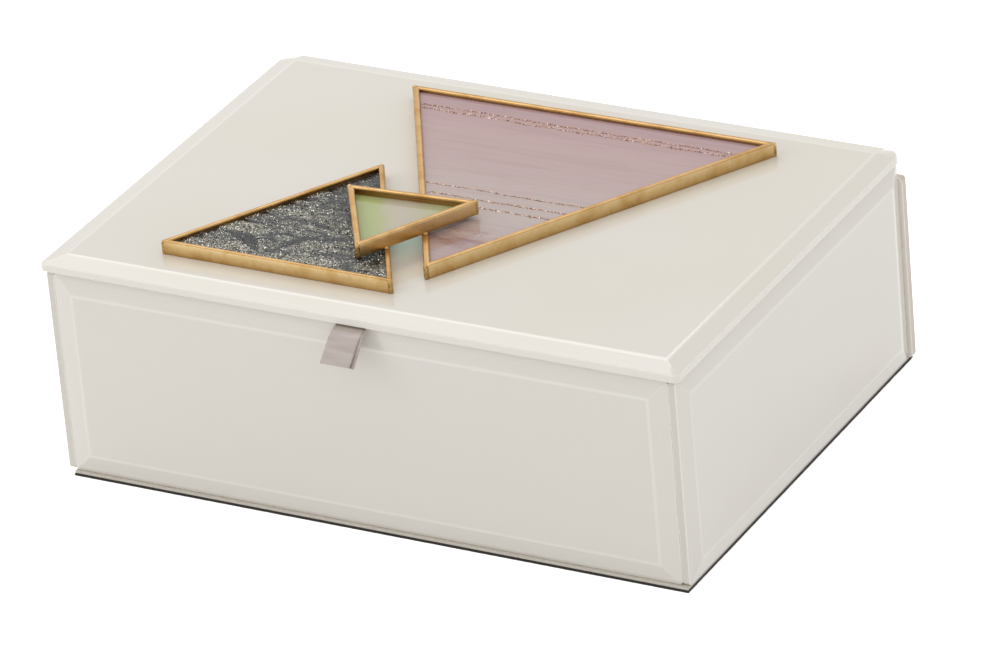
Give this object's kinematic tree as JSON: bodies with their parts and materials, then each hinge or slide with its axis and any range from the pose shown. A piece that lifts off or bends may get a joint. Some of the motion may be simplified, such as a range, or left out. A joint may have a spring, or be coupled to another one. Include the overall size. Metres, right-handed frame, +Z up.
{
  "type": "jewellery box",
  "caption": "Glass-clad jewellery box with a hinged lid, soldered brass triangles on top, a ribbon pull and a velvet-lined, divided inside.",
  "frame": {"origin": "centre of the underside of the closed box, on the surface it stands on", "axes": "+Z up; +X along the width, to the right seen from the front; -Y is the front, where the ribbon pull is, and the hinges are along the +Y edge"},
  "size_m": [0.2546, 0.1963, 0.0978],
  "materials": {
    "painted_glass": "clear float glass with polished bevels, painted off-white on its back",
    "base_felt": "dark pressed felt",
    "lacquered_board": "fibreboard, off-white satin lacquer",
    "velvet": "short taupe velvet",
    "velvet_roll": "short taupe velvet over foam",
    "hinge_brass": "satin brass",
    "satin_ribbon": "taupe satin ribbon",
    "came_brass": "brass channel, softly aged",
    "solder": "solder with a dull brass patina",
    "glitter_stone": "dark crushed mineral with bright flecks, under resin",
    "mauve_glass": "lilac art glass with fine copper glitter lines",
    "green_glass": "pale green dichroic glass"
  },
  "bodies": {
    "box": {"back_divider": "velvet", "back_glass": "painted_glass", "back_liner": "velvet", "back_wall": "lacquered_board", "base_board": "lacquered_board", "base_felt": "base_felt", "box_hinge_screws": "hinge_brass", "cross_divider": "velvet", "floor_pad": "velvet", "front_glass": "painted_glass", "front_liner": "velvet", "front_wall": "lacquered_board", "left_glass": "painted_glass", "left_hinge_box_leaf": "hinge_brass", "left_hinge_pin": "hinge_brass", "left_liner": "velvet", "left_wall": "lacquered_board", "right_glass": "painted_glass", "right_hinge_box_leaf": "hinge_brass", "right_hinge_pin": "hinge_brass", "right_liner": "velvet", "right_wall": "lacquered_board", "ring_divider": "velvet", "ring_roll_1": "velvet_roll", "ring_roll_2": "velvet_roll", "ring_roll_3": "velvet_roll", "ring_roll_4": "velvet_roll", "ring_roll_5": "velvet_roll"},
    "lid": {"green_came_back": "came_brass", "green_came_left": "came_brass", "green_came_right": "came_brass", "green_infill": "green_glass", "green_solder": "solder", "left_hinge_lid_leaf": "hinge_brass", "lid_board": "lacquered_board", "lid_glass": "painted_glass", "lid_hinge_screws": "hinge_brass", "lid_lining": "velvet", "mauve_came_back": "came_brass", "mauve_came_left": "came_brass", "mauve_came_right": "came_brass", "mauve_infill": "mauve_glass", "mauve_solder": "solder", "ribbon_pull": "satin_ribbon", "right_hinge_lid_leaf": "hinge_brass", "stone_came_front": "came_brass", "stone_came_left": "came_brass", "stone_came_right": "came_brass", "stone_infill": "glitter_stone", "stone_solder": "solder"}
  },
  "joints": [
    {"name": "lid_hinge", "type": "hinge", "parent": "box", "child": "lid", "pos_m": [0, 0.09, 0.0768], "axis": [-1, 0, 0], "range_deg": [0, 95]}
  ]
}
